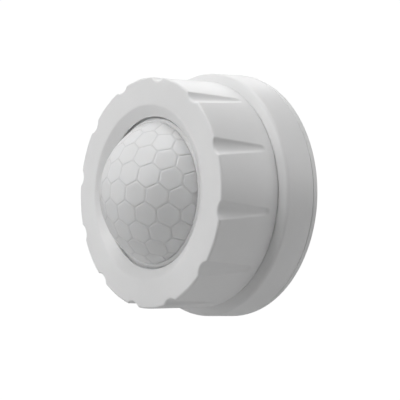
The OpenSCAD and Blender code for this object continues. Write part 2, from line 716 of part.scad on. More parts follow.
module terminal_block() color("seagreen") wall_mounted() difference() {
    translate([0, terminal_y, terminal_z]) block([terminal_w, terminal_d, terminal_h - gap]);
    for (n = [1:poles]) translate([pole_x(n), terminal_y, 0]) {
        // Screw access from the rear, seat, and the cavity in which the cage rises.
        translate([0, 0, terminal_z - eps]) cylinder(h = clamp_seat_z - terminal_z + eps, r = clamp_head_r + 0.2);
        translate([0, 0, terminal_z]) cylinder(h = 6, r = clamp_screw_r + 0.15);
        translate([0, 0, clamp_seat_z + 0.25]) block([cage_w + 0.4, cage_d + 0.4, 12]);
        // Wire entry that faces the cable grommet, and room for the contact bar.
        translate([-1.5, 0, contact_z + contact_h + 0.1]) cube([3, 8, 2.3]);
        translate([0, -0.4, contact_z - gap]) block([contact_w + 0.1, 7.2, contact_h + 0.15]);
        translate([0, -3.4, contact_z - gap]) block([contact_w + 0.1, 1.1, 12]);
    }
}

// Contact bars that the wires are clamped against, each with its solder pin.
module terminal_contacts() color("gold") wall_mounted() for (n = [1:poles])
    translate([pole_x(n), terminal_y, 0]) union() {
        translate([0, -0.4, contact_z]) block([contact_w, 7, contact_h]);
        translate([0, -3.4, contact_z]) block([contact_w, 0.9, power_board_z - contact_z - gap]);
        translate([0, -3.4, contact_z]) cylinder(h = power_top_z + 0.8 - contact_z, r = 0.4);
    }

module terminal_screw(n) wall_mounted() translate([pole_x(n), terminal_y, 0]) difference() {
    union() {
        translate([0, 0, clamp_seat_z - gap - clamp_head_h]) cylinder(h = clamp_head_h, r = clamp_head_r);
        translate([0, 0, clamp_seat_z - gap - eps])
            cylinder(h = contact_z - clamp_seat_z - gap, r = clamp_screw_r);
    }
    translate([0, 0, clamp_seat_z - gap - clamp_head_h - eps]) block([2 * clamp_head_r + 1, 0.6, 0.8]);
}

module terminal_cage(n) wall_mounted() translate([pole_x(n), terminal_y, cage_top_z]) difference() {
    block([cage_w, cage_d, cage_h]);
    translate([0, 0, 0.9]) block([cage_w - 2 * cage_wall, cage_d + 1, cage_h - 1.7]);
    translate([0, 0, -eps]) cylinder(h = 2, r = clamp_screw_r + gap);
}

module terminal_screw_1() color("silver") terminal_screw(1);
module terminal_screw_2() color("silver") terminal_screw(2);
module terminal_screw_3() color("silver") terminal_screw(3);
module terminal_cage_1() color("gainsboro") terminal_cage(1);
module terminal_cage_2() color("gainsboro") terminal_cage(2);
module terminal_cage_3() color("gainsboro") terminal_cage(3);

// ---------------------------------------------------------------- nodes

back_plate();
mount_gasket();
cable_grommet();
base_seal();
housing();
housing_screws();
locking_collar();
lens_dome();
lens_gasket();
sensor_board();
pir_can();
pir_window();
pir_leads();
daylight_sensor();
indicator_led();
optical_sensor_leads();
trimmer_bodies();
range_trimmer();
time_trimmer();
daylight_trimmer();
microcontroller();
chip_components();
board_standoffs();
board_screws();
header_body();
header_socket();
header_pins();
power_board();
relay();
film_capacitor();
electrolytic_capacitor();
varistor();
fuse();
fuse_caps();
bridge_rectifier();
choke_core();
choke_winding();
power_leads();
terminal_block();
terminal_contacts();
terminal_screw_1();
terminal_screw_2();
terminal_screw_3();
terminal_cage_1();
terminal_cage_2();
terminal_cage_3();
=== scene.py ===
"""Visual model of a surface-mounted infrared motion sensor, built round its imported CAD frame.

Shapes are drawn in millimetres in the device frame, where z = 0 is the mounting face and +z points
out of the lens. to_row() turns them into the row frame, in metres, where the lens looks along -Y and
+Z is up. Named angles are in degrees, except where a comment says radians.
"""

import json
import math
from collections import namedtuple

import bmesh
import bpy
from mathutils import Matrix, Vector


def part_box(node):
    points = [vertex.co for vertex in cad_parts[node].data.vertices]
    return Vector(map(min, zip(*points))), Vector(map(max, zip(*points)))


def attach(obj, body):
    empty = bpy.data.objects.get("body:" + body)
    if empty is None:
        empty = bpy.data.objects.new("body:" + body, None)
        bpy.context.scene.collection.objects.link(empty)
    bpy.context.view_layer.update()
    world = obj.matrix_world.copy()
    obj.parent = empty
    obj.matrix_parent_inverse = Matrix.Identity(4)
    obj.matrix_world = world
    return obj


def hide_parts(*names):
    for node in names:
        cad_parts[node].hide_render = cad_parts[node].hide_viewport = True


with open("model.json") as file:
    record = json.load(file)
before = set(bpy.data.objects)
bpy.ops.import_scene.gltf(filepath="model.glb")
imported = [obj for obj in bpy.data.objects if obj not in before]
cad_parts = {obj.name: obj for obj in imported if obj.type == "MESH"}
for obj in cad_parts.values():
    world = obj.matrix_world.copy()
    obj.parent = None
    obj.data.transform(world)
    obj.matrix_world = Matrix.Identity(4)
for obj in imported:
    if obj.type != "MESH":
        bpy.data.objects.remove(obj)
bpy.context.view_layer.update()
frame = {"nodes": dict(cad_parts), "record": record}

MM = 0.001
TAU = 2 * math.pi

# ---------------------------------------------------------------- sizes shared with the CAD

# Overall, read from the frame
FRONT_Z = round(-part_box("locking_collar")[0].y / MM, 3)
COLLAR_REAR_Z = round(-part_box("locking_collar")[1].y / MM, 3)
BASE_R = round(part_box("back_plate")[1].x / MM, 3)

# Back plate
PLATE_H, PLATE_FLOOR_H = 2.4, 2.0
SPIGOT_R, SPIGOT_IN_R, SPIGOT_H = 40.3, 38.2, 5.6
SEAL_GROOVE_R, SEAL_GROOVE_Z, SEAL_GROOVE_H = 39.1, 2.9, 2.3
SEAL_R, SEAL_SECTION_R = 40.2, 1.05
MOUNT_GROOVE_IN_R, MOUNT_GROOVE_OUT_R, MOUNT_GROOVE_H = 39.9, 42.1, 1.0
SLOT_X, SLOT_W, SLOT_L = 30.0, 4.4, 8.0
PAD_W, PAD_D, PAD_TOP_Z = 12.0, 10.0, 3.0
RIB_START_R, RIB_L, RIB_W, RIB_TOP_Z = 12.0, 27.0, 1.2, 2.9
RIB_ANGLES = (60, 120, 240, 300)

# Cable grommet
CABLE_R = 3.0
GROMMET_HOLE_R, GROMMET_RECESS_R, GROMMET_RECESS_H = 7.0, 9.2, 0.8
GROMMET_FLANGE_R, GROMMET_FLANGE_H = 9.1, 0.75
GROMMET_LIP_R, GROMMET_H = 8.6, 3.25

# Case screws, whose bosses are split between the plate and the housing
CASE_SCREW_PCD_R, CASE_SCREW_ANGLES = 36.05, (30, 150, 270)
CASE_SCREW_HOLE_R, CASE_SCREW_THREAD_R, CASE_HEAD_HOLE_R = 1.45, 1.35, 2.6
CASE_BOSS_R, PLATE_BOSS_R, BOSS_SPLIT_Z, SCREW_SEAT_Z = 3.3, 3.0, 6.2, 11.2

# Housing
PARTING_GAP = 0.08
WALL_IN_R, WALL_TOP_R = BASE_R - 2.1, BASE_R - 0.7
SHOULDER_CORNER_Z, SHOULDER_Z, SHOULDER_UNDER_Z = 13.65, 14.9, 12.6
NECK_R, NECK_BORE_R, NECK_TOP_Z = 33.4, 31.0, FRONT_Z - 7
LIP_R, LIP_H = 27.8, 1.8
GASKET_SEAT_IN_R, GASKET_SEAT_OUT_R, GASKET_SEAT_DEPTH = 28.5, 32.1, 0.6
POST_PCD_R, POST_ANGLES = 27.2, (90, 210, 330)
POST_R, POST_Z, POST_H, POST_HOLE_R = 2.8, 21.6, 4.6, 1.25
KEY_R, KEY_THICK, KEY_W = 32.75, 0.9, 3.0

# Bayonet between the housing's neck and the collar
LUG_COUNT, LUG_ARC, UNLOCK_ANGLE, STOP_PLAY = 4, 38.0, 45.0, 0.4
LUG_PITCH = 360 / LUG_COUNT
STOP_ARC = LUG_PITCH - LUG_ARC - UNLOCK_ANGLE - 2 * STOP_PLAY
HOUSING_LUG_R, HOUSING_LUG_Z, LUG_H = 35.3, 24.0, 3.0
COLLAR_LUG_R, COLLAR_LUG_Z = 33.9, 20.6

# Locking collar
COLLAR_R, COLLAR_REAR_R, COLLAR_BORE_R = 39.0, 39.7, 35.9
COLLAR_EDGE = 0.8
COLLAR_DISH_R, COLLAR_LIP_R, COLLAR_LIP_Z, COLLAR_WALL = 29.6, 25.8, FRONT_Z - 2.5, 4.0
FLUTES, FLUTE_PHASE = 12, 20.0
FLUTE_DEPTH, FLUTE_LENGTH, FLUTE_R = 1.35, 20.5, 4.3
FLUTE_TIP_R, FLUTE_TIP_DEPTH = 1.6, 0.45

# Lens
LENS_R, LENS_Z, LENS_WALL = 26.9, 25.0, 1.2
FACET_PITCH, FACET_LEAN, FACET_SHIFT = 16.7, -6.5, 3.5
BAND_ANGLE = 65.5
SKIRT_R, SKIRT_Z = 25.4, FRONT_Z - 3.3
FLANGE_R, FLANGE_Z, FLANGE_H = 32.8, FRONT_Z - 5.95, 1.7

# ---------------------------------------------------------------- mesh helpers


def lerp(a, b, t):
    return a + (b - a) * t


def to_row(p):
    """A point of the device frame in millimetres, in the row frame in metres."""
    return (p[0] * MM, -p[2] * MM, p[1] * MM)


def finish_mesh(obj, sharp_deg=32):
    """Smooth shading with edges sharper than sharp_deg kept crisp."""
    mesh = obj.data
    for poly in mesh.polygons:
        poly.use_smooth = True
    mesh.set_sharp_from_angle(angle=math.radians(sharp_deg))
    return obj


def make_object(name, verts, faces, sharp_deg=32, seam=None):
    """A mesh object from device-frame points and faces, with outward normals."""
    mesh = bpy.data.meshes.new(name)
    mesh.from_pydata([to_row(v) for v in verts], [], faces)
    # The seam attribute is a per-point weight of painted shade in the lens's seams, read by its material.
    if seam:
        mesh.attributes.new("seam", "FLOAT", "POINT").data.foreach_set("value", seam)
    bm = bmesh.new()
    bm.from_mesh(mesh)
    bmesh.ops.remove_doubles(bm, verts=bm.verts, dist=1e-7)
    bmesh.ops.recalc_face_normals(bm, faces=bm.faces)
    bm.to_mesh(mesh)
    bm.free()
    mesh.update()
    obj = bpy.data.objects.new(name, mesh)
    bpy.context.scene.collection.objects.link(obj)
    return finish_mesh(obj, sharp_deg)


def fillet(corners, step_deg=11):
    """A closed profile with rounded corners, from (r, z, fillet radius) corners."""
    out = []
    for i, (r, z, radius) in enumerate(corners):
        if radius <= 0:
            out.append((r, z))
            continue
        corner = Vector((r, z))
        to_last = (Vector(corners[i - 1][:2]) - corner).normalized()
        to_next = (Vector(corners[(i + 1) % len(corners)][:2]) - corner).normalized()
        half = to_last.angle(to_next) / 2
        reach = radius / math.tan(half)
        centre = corner + (to_last + to_next).normalized() * (radius / math.sin(half))
        first, last = corner + to_last * reach - centre, corner + to_next * reach - centre
        start = math.atan2(first.y, first.x)
        turn = (math.atan2(last.y, last.x) - start + math.pi) % TAU - math.pi
        steps = max(2, math.ceil(abs(math.degrees(turn)) / step_deg))
        for k in range(steps + 1):
            a = start + turn * k / steps
            out.append((centre.x + radius * math.cos(a), centre.y + radius * math.sin(a)))
    return out


def lathe(name, profile, azimuths=256, shape=None, sharp_deg=32):
    """Turns a closed (r, z) profile round the z axis.

    azimuths is a number of even steps or a list in radians. shape(r, z, azimuth) may give a point
    another radius.
    """
    if isinstance(azimuths, int):
        azimuths = [TAU * k / azimuths for k in range(azimuths)]
    n, m = len(profile), len(azimuths)
    verts, faces = [], []
    for a in azimuths:
        for r, z in profile:
            q = shape(r, z, a) if shape else r
            verts.append((q * math.cos(a), q * math.sin(a), z))
    for i in range(m):
        j = (i + 1) % m
        for k in range(n):
            kk = (k + 1) % n
            faces.append([i * n + k, j * n + k, j * n + kk, i * n + kk])
    return make_object(name, verts, faces, sharp_deg)


def prism(outline, z0, z1):
    """A closed prism on a convex outline of (x, y) points, to join to a shell or cut from it."""
    n = len(outline)
    verts = [(x, y, z0) for x, y in outline] + [(x, y, z1) for x, y in outline]
    faces = [list(range(n)), list(range(n, 2 * n))]
    faces += [[i, (i + 1) % n, n + (i + 1) % n, n + i] for i in range(n)]
    return make_object("tool", verts, faces)


def circle_outline(x, y, r, n=48):
    return [(x + r * math.cos(TAU * k / n), y + r * math.sin(TAU * k / n)) for k in range(n)]


def box_outline(x, y, w, d, corner=0.0, turn=0.0):
    """A rectangle about (x, y), with rounded corners, turned by turn degrees about the origin."""
    pts = []
    for sx, sy, start in ((1, 1, 0), (-1, 1, 90), (-1, -1, 180), (1, -1, 270)):
        cx, cy = x + sx * (w / 2 - corner), y + sy * (d / 2 - corner)
        steps = 8 if corner else 0
        for k in range(steps + 1):
            a = math.radians(start + (90 * k / steps if steps else 45))
            pts.append((cx + corner * math.cos(a), cy + corner * math.sin(a)))
    ct, st = math.cos(math.radians(turn)), math.sin(math.radians(turn))
    return [(px * ct - py * st, px * st + py * ct) for px, py in pts]


def sector_outline(r0, r1, middle_deg, arc_deg, n=14):
    """A block between two radii, centred on an angle."""
    angles = [math.radians(middle_deg + arc_deg * (k / n - 0.5)) for k in range(n + 1)]
    outer = [(r1 * math.cos(a), r1 * math.sin(a)) for a in angles]
    return outer + [(r0 * math.cos(a), r0 * math.sin(a)) for a in reversed(angles)]


def at_angle(radius, deg):
    return radius * math.cos(math.radians(deg)), radius * math.sin(math.radians(deg))


def pillars(pcd_r, angles, r, z0, z1, sides=48):
    """Round prisms at the given angles on a circle of radius pcd_r."""
    return [prism(circle_outline(*at_angle(pcd_r, a), r, sides), z0, z1) for a in angles]


def combine(target, tools, operation):
    """Joins the tools to the target, or cuts them from it, and removes them."""
    for tool in tools:
        mod = target.modifiers.new("combine", "BOOLEAN")
        mod.operation = operation
        mod.solver = "EXACT"
        mod.object = tool
    deps = bpy.context.evaluated_depsgraph_get()
    mesh = bpy.data.meshes.new_from_object(target.evaluated_get(deps))
    target.modifiers.clear()
    old = target.data
    target.data = mesh
    mesh.name = target.name
    bpy.data.meshes.remove(old)
    for tool in tools:
        data = tool.data
        bpy.data.objects.remove(tool)
        bpy.data.meshes.remove(data)
    return finish_mesh(target)


# ---------------------------------------------------------------- locking collar

FLUTE_TAIL, TAIL_LIFT, TAIL_SLOPE = 1.4, 1.25, 0.35  # how a flute's rear end is rounded off
FLUTE_SOFT = 0.3  # depth over which a flute's edge is softened, above and below the side
FLUTE_SHARE = 0.97  # share of a flute's radius that is drawn, so that its edge isn't vertical
OUTSIDE_FLUTE = -0.5  # depth given to points outside a flute
SIDE_MIN_R = 37.4  # the flutes pull in points of the collar's profile that are further out than this
SIDE_ROWS = 40
LUG_STEP = 0.02  # distance between the two rows that make a lug's end face


def flute_inset(z, azimuth):
    """How far the collar's side is pulled in by its nearest finger flute. azimuth is in radians."""
    along = z - (FRONT_Z - FLUTE_LENGTH)
    t = max(along, 0) / FLUTE_LENGTH
    pitch = 360 / FLUTES
    off = math.radians((math.degrees(azimuth) - FLUTE_PHASE + pitch / 2) % pitch - pitch / 2)
    side_r = lerp(COLLAR_REAR_R, COLLAR_R, (z - COLLAR_REAR_Z) / (FRONT_Z - COLLAR_REAR_Z))
    centre = lerp(COLLAR_REAR_R + FLUTE_TIP_R - FLUTE_TIP_DEPTH, COLLAR_R - FLUTE_DEPTH + FLUTE_R, t)
    radius = lerp(FLUTE_TIP_R, FLUTE_R, t)
    across = abs(centre * math.sin(off))
    if across < radius * FLUTE_SHARE:
        depth = side_r - (centre * math.cos(off) - math.sqrt(radius**2 - across**2))
    else:
        depth = OUTSIDE_FLUTE
    depth -= FLUTE_TIP_DEPTH * TAIL_LIFT * max(1 - max(along, 0) / FLUTE_TAIL, 0) ** 2
    depth -= TAIL_SLOPE * max(-along, 0)
    blend = max(FLUTE_SOFT - abs(depth), 0) / FLUTE_SOFT
    return max(depth, 0) + blend * blend * FLUTE_SOFT / 4


def collar_rows():
    """The collar's profile, with extra rows for the flutes, the front face and the lugs."""
    profile = fillet(
        [
            (COLLAR_REAR_R, COLLAR_REAR_Z, 0.4),
            (COLLAR_R, FRONT_Z, COLLAR_EDGE),
            (COLLAR_DISH_R, FRONT_Z, 1.6),
            (COLLAR_LIP_R, COLLAR_LIP_Z, 0.4),
            (COLLAR_LIP_R + 0.7, FRONT_Z - COLLAR_WALL, 0.3),
            (COLLAR_BORE_R, FRONT_Z - COLLAR_WALL, 1.0),
            (COLLAR_BORE_R, COLLAR_REAR_Z, 0.5),
        ],
        9,
    )
    lug_top = COLLAR_LUG_Z + LUG_H
    lug_rows = (lug_top + LUG_STEP, lug_top, COLLAR_LUG_Z, COLLAR_LUG_Z - LUG_STEP)
    rows = []
    for k, (r, z) in enumerate(profile):
        r2, z2 = profile[(k + 1) % len(profile)]
        rows.append((r, z))
        if min(r, r2) > SIDE_MIN_R and z2 - z > 5:
            rows += [(lerp(r, r2, q / SIDE_ROWS), lerp(z, z2, q / SIDE_ROWS)) for q in range(1, SIDE_ROWS)]
        if min(z, z2) > FRONT_Z - 1e-6 and r - r2 > 5:
            rows += [(lerp(r, r2, t), z) for t in (0.3, 0.5, 0.75)]
        if max(abs(r - COLLAR_BORE_R), abs(r2 - r)) < 1e-6 and z - z2 > 8:
            rows += [(r, lug_z) for lug_z in lug_rows]
    return rows


def collar_azimuths():
    """Angles in radians: 0.33 degrees apart in a flute, 1.5 between flutes, and a pair at each lug's ends."""
    pitch = 360 / FLUTES
    degrees = []
    for k in range(FLUTES):
        middle = FLUTE_PHASE + k * pitch
        degrees += [middle + 0.33 * q for q in range(-17, 18)]
        degrees += [middle + pitch / 2 + 1.5 * q for q in range(-6, 7)]
    for k in range(LUG_COUNT):
        for side in (-1, 1):
            degrees += [LUG_PITCH * k + side * (LUG_ARC / 2 + d) for d in (-0.04, 0.04)]
    return [math.radians(a) for a in sorted({round(a % 360, 4) for a in degrees})]


def build_collar():
    """A tapered ring with a dished front, finger flutes and four inner lugs."""

    def shape(r, z, azimuth):
        if r > SIDE_MIN_R:
            return r - flute_inset(min(z, FRONT_Z - COLLAR_EDGE * 0.6), azimuth)
        on_bore = abs(r - COLLAR_BORE_R) < 1e-6
        if on_bore and COLLAR_LUG_Z - LUG_STEP / 2 < z < COLLAR_LUG_Z + LUG_H + LUG_STEP / 2:
            off = (math.degrees(azimuth) + LUG_PITCH / 2) % LUG_PITCH - LUG_PITCH / 2
            return COLLAR_LUG_R if abs(off) < LUG_ARC / 2 else r
        return r

    return lathe("collar_ring", collar_rows(), collar_azimuths(), shape, sharp_deg=40)


# ---------------------------------------------------------------- faceted lens

APEX = Vector((0, 0, 1))
BAND = math.radians(BAND_ANGLE)  # in radians
GRID_LIMIT = 88  # the grid of facets ends this far from the apex
SEAM_W, SEAM_D = 0.45, 0.2  # half width and depth of the seams between facets
DOME_UP = 0.07  # how far a facet's middle stands above its edges
CORNER_IN, CORNER_REACH = 0.4, 1.1  # extra width of a seam at a corner, and how far it fades
CORNER_SNAP = 0.03  # facet corners closer than this are one corner
MIN_FACET = 0.9  # a sliver at the border, with its middle nearer than this to an edge, gets no seam
FACET_START = 8.0  # half width of the square that a facet is cut from
# Distance from the sphere's centre to a facet's plane, which puts the corners just inside the sphere
FACET_PLANE = LENS_R * math.cos(math.radians(FACET_PITCH / math.sqrt(3) * 1.03)) - DOME_UP
EDGE_STEPS = (0.0, 0.06, 0.14, 0.3, 0.5, 0.7, 0.86, 0.94)
# Rows up a seam's side: share of its width, share of its depth and darkness of its painted shade
SEAM_ROWS = ((0.28, 0.82, 0.9), (0.55, 0.42, 0.5), (0.8, 0.12, 0.15), (1.0, 0.0, 0.0))
# Rows from a seam to the facet's middle: share of the way and share of DOME_UP
CROWN_ROWS = ((0.35, 0.5), (0.6, 0.82), (0.82, 0.96))


def on_sphere(theta, phi):
    """The unit vector at an angle theta from the apex and phi round it, both in radians."""
    return Vector((math.sin(theta) * math.cos(phi), math.sin(theta) * math.sin(phi), math.cos(theta)))


def facet_directions():
    """Unit vectors to the facets' middles, on a hexagonal grid wrapped over the sphere."""
    out = []
    reach = int(GRID_LIMIT / FACET_PITCH) + 1
    for j in range(-reach, reach + 1):
        for i in range(-reach - 1, reach + 1):
            x = FACET_PITCH * (i + (abs(j) % 2) / 2) + FACET_SHIFT
            y = FACET_PITCH * j * math.sqrt(3) / 2
            theta = math.hypot(x, y)
            if theta <= GRID_LIMIT:
                phi = math.atan2(y, x) + math.radians(FACET_LEAN)
                out.append(on_sphere(math.radians(theta), phi))
    return out


def clip(poly, normal, offset):
    """The part of a convex polygon where normal . p <= offset."""
    out = []
    for k, p in enumerate(poly):
        q = poly[(k + 1) % len(poly)]
        dp, dq = normal.dot(p) - offset, normal.dot(q) - offset
        if dp <= 0:
            out.append(p)
        if (dp < -1e-9 and dq > 1e-9) or (dp > 1e-9 and dq < -1e-9):
            out.append(p + (q - p) * (dp / (dp - dq)))
    return out


def rim_clip(poly, sides=192):
    """The part of a facet inside the border, whose cone is drawn as many flat planes."""
    for k in range(sides):
        a = TAU * k / sides
        normal = Vector((math.cos(a) * math.cos(BAND), math.sin(a) * math.cos(BAND), -math.sin(BAND)))
        poly = clip(poly, normal, 0.0)
        if len(poly) < 3:
            return []
    return poly


def area_middle(poly):
    """The middle of a flat polygon's area."""
    total, weight = Vector(), 0.0
    for k in range(1, len(poly) - 1):
        area = (poly[k] - poly[0]).cross(poly[k + 1] - poly[0]).length
        total += (poly[0] + poly[k] + poly[k + 1]) / 3 * area
        weight += area
    return total / weight


def facet_outlines():
    """Each facet's direction and corners, about the sphere's centre. Neighbours share their corners."""
    directions = facet_directions()
    known = []

    def shared(p):
        for q in known:
            if (p - q).length < CORNER_SNAP:
                return q
        known.append(p)
        return p

    out = []
    for c in directions:
        # A facet further out than this doesn't reach the border.
        if c.angle(APEX) > BAND + math.radians(FACET_PITCH * 0.62):
            continue
        u = c.cross(Vector((0, 1, 0))).normalized() * FACET_START
        w = c.cross(u)
        square = ((-1, -1), (1, -1), (1, 1), (-1, 1))
        poly = [c * FACET_PLANE + u * a + w * b for a, b in square]
        for other in directions:
            # Only neighbours up to two facets away can cut it.
            if other is not c and other.angle(c) < math.radians(FACET_PITCH * 2.1):
                poly = clip(poly, other, FACET_PLANE)
        poly = [shared(p) for p in rim_clip(poly)]
        poly = [p for k, p in enumerate(poly) if p is not poly[k - 1]]
        if len(poly) >= 3:
            out.append((c, poly))
    return out


def seam_bottom(corners, rim_angles):
    """The facet's corners pushed in to the seam's bottom, and which of them are on the border.

    A corner on the border goes exactly onto its circle, and its angle is added to rim_angles.
    """
    low, on_rim = [], []
    for p in corners:
        at_rim = p.angle(APEX) > BAND - math.radians(0.3)
        on_rim.append(at_rim)
        if at_rim:
            a = math.atan2(p.y, p.x)
            rim_angles.add(round(a % TAU, 6))
            p = on_sphere(BAND, a) * FACET_PLANE
        low.append(p * (1 - SEAM_D / p.length))
    return low, on_rim


def facet_rings(direction, corners, rim_angles):
    """A facet as rings of (point, darkness of painted shade) from the seam's bottom inwards, and its middle.
    """
    low, on_rim = seam_bottom(corners, rim_angles)
    edge, bottom, pull = [], [], []
    n = len(corners)
    for k in range(n):
        k2 = (k + 1) % n
        along_rim = on_rim[k] and on_rim[k2]
        for t in EDGE_STEPS[:1] if along_rim else EDGE_STEPS:
            edge.append(corners[k].lerp(corners[k2], t))
            bottom.append(low[k].lerp(low[k2], t))
            near = min(t, 1 - t) * (corners[k] - corners[k2]).length
            pull.append(0.0 if along_rim else CORNER_IN * max(1 - near / CORNER_REACH, 0) ** 2)
    middle = area_middle(corners)
    size = min((middle - (corners[k] + corners[k - 1]) / 2).length for k in range(n))
    # The darkness with each point is painted shade, full at the seam's bottom and none on the facet.
    rings = [[(p, 1.0) for p in bottom]]
    if size <= MIN_FACET:
        return rings, (middle - direction * (SEAM_D * 0.4), 0.2)
    for width, drop, dark in SEAM_ROWS:
        ring = []
        for p, extra in zip(edge, pull):
            share = (SEAM_W + extra) * width / (middle - p).length
            ring.append((p + (middle - p) * share - direction * (SEAM_D * drop), dark))
        rings.append(ring)
    for share, lift in CROWN_ROWS:
        rings.append([(p + (middle - p) * share + direction * (DOME_UP * lift), 0.0) for p in edge])
    return rings, (middle + direction * DOME_UP, 0.0)


def lens_body_profile():
    """The border, skirt, flange and smooth inside, from the facets' rim to the inner apex."""
    rim_r = FACET_PLANE - SEAM_D
    out = [(rim_r * math.sin(BAND), rim_r * math.cos(BAND) + LENS_Z)]
    for past_rim, r in ((0.25, LENS_R - 0.1), (0.6, LENS_R + 0.05)):
        a = math.radians(BAND_ANGLE + past_rim)
        out.append((r * math.sin(a), r * math.cos(a) + LENS_Z))
    flange_top = FLANGE_Z + FLANGE_H
    out += [
        (SKIRT_R - 0.5, SKIRT_Z),
        (SKIRT_R - 0.15, SKIRT_Z - 0.06),
        (SKIRT_R, SKIRT_Z - 0.3),
        (SKIRT_R, flange_top + 0.3),
        (SKIRT_R + 0.3, flange_top),
        (FLANGE_R - 0.2, flange_top),
        (FLANGE_R, flange_top - 0.2),
        (FLANGE_R, FLANGE_Z + 0.2),
        (FLANGE_R - 0.2, FLANGE_Z),
        (SKIRT_R - 1.1, FLANGE_Z),
    ]
    inner_r = LENS_R - LENS_WALL
    start, steps = math.asin((SKIRT_R - 1.15) / inner_r), 14
    for k in range(steps + 1):
        a = start * (1 - k / steps)
        out.append((inner_r * math.sin(a), inner_r * math.cos(a) + LENS_Z))
    return out


def build_lens():
    """A shell with hexagonal facets divided by soft seams that carry painted shade, a narrow border, a skirt
    and a flange.
    """
    verts, faces, seam = [], [], []
    rim_angles = set()

    def add(p, dark):
        verts.append((p.x, p.y, p.z + LENS_Z))
        seam.append(dark)
        return len(verts) - 1

    for direction, corners in facet_outlines():
        rings, (tip, tip_dark) = facet_rings(direction, corners, rim_angles)
        rings = [[add(p, dark) for p, dark in ring] for ring in rings]
        middle = add(tip, tip_dark)
        n = len(rings[0])
        for a, b in zip(rings, rings[1:]):
            faces += [[a[k], a[(k + 1) % n], b[(k + 1) % n], b[k]] for k in range(n)]
        last = rings[-1]
        faces += [[last[k], last[(k + 1) % n], middle] for k in range(n)]

    # The rest is turned on the azimuths of the facets' rim, so that the two parts join.
    profile = lens_body_profile()
    azimuths = sorted(rim_angles)
    base, n, m = len(verts), len(profile), len(azimuths)
    for a in azimuths:
        verts += [(r * math.cos(a), r * math.sin(a), z) for r, z in profile]
    seam += [0.0] * (n * m)
    for i in range(m):
        j = (i + 1) % m
        for k in range(n - 1):
            quad = [base + i * n + k, base + j * n + k, base + j * n + k + 1, base + i * n + k + 1]
            faces.append(quad if k < n - 2 else quad[:3])
    return make_object("lens_shell", verts, faces, sharp_deg=38, seam=seam)


# ---------------------------------------------------------------- housing and back plate


def build_housing():
    """The drum and neck, with bayonet lugs, stops, screw bosses, board posts and lens keys."""
    foot_z, seat_z = PLATE_H + PARTING_GAP, NECK_TOP_Z - GASKET_SEAT_DEPTH
    profile = fillet(
        [
            (BASE_R - 0.1, foot_z, 0.28),
            (WALL_TOP_R, SHOULDER_CORNER_Z, 1.5),
            (COLLAR_REAR_R, SHOULDER_Z, 0.6),
            (NECK_R, SHOULDER_Z, 0.5),
            (NECK_R, NECK_TOP_Z, 0.5),
            (GASKET_SEAT_OUT_R, NECK_TOP_Z, 0.1),
            (GASKET_SEAT_OUT_R, seat_z, 0),
            (GASKET_SEAT_IN_R, seat_z, 0),
            (GASKET_SEAT_IN_R, NECK_TOP_Z, 0.1),
            (LIP_R, NECK_TOP_Z, 0.3),
            (LIP_R, NECK_TOP_Z - LIP_H, 0.3),
            (NECK_BORE_R, NECK_TOP_Z - LIP_H - 1, 0.5),
            (NECK_BORE_R, SHOULDER_UNDER_Z, 0.5),
            (WALL_IN_R - 0.6, SHOULDER_UNDER_Z, 1.0),
            (WALL_IN_R, foot_z, 0.2),
        ],
        8,
    )
    body = lathe("housing_shell", profile, 288)

    root_r, stop_z = NECK_R - 0.8, COLLAR_LUG_Z - 0.3
    parts = []
    for k in range(LUG_COUNT):
        lug = sector_outline(root_r, HOUSING_LUG_R, LUG_PITCH * k, LUG_ARC)
        parts.append(prism(lug, HOUSING_LUG_Z, HOUSING_LUG_Z + LUG_H))
        stop_angle = LUG_PITCH * k - LUG_ARC / 2 - STOP_PLAY - STOP_ARC / 2
        stop = sector_outline(root_r, HOUSING_LUG_R - 0.2, stop_angle, STOP_ARC)
        parts.append(prism(stop, stop_z, HOUSING_LUG_Z + 1))
    boss_z = (BOSS_SPLIT_Z + 0.05, SHOULDER_UNDER_Z + 1)
    parts += pillars(CASE_SCREW_PCD_R, CASE_SCREW_ANGLES, CASE_BOSS_R, *boss_z)
    for a in POST_ANGLES:
        parts += pillars(POST_PCD_R, [a], POST_R, POST_Z, POST_Z + POST_H)
        reach = NECK_BORE_R - POST_PCD_R + 1
        rib = box_outline(POST_PCD_R + reach / 2, 0, reach, 3, turn=a)
        parts.append(prism(rib, POST_Z + 0.02, POST_Z + POST_H - 0.02))
    for side in (-1, 1):
        parts.append(prism(box_outline(side * KEY_R, 0, KEY_THICK, KEY_W), seat_z, NECK_TOP_Z + 2))
    combine(body, parts, "UNION")

    cuts = []
    for a in CASE_SCREW_ANGLES:
        cuts += pillars(CASE_SCREW_PCD_R, [a], CASE_HEAD_HOLE_R, SCREW_SEAT_Z, SCREW_SEAT_Z + 10)
        cuts += pillars(CASE_SCREW_PCD_R, [a], CASE_SCREW_HOLE_R, 0, 14)
    cuts += pillars(POST_PCD_R, POST_ANGLES, POST_HOLE_R, POST_Z - 0.1, POST_Z + 4, 32)
    return combine(body, cuts, "DIFFERENCE")


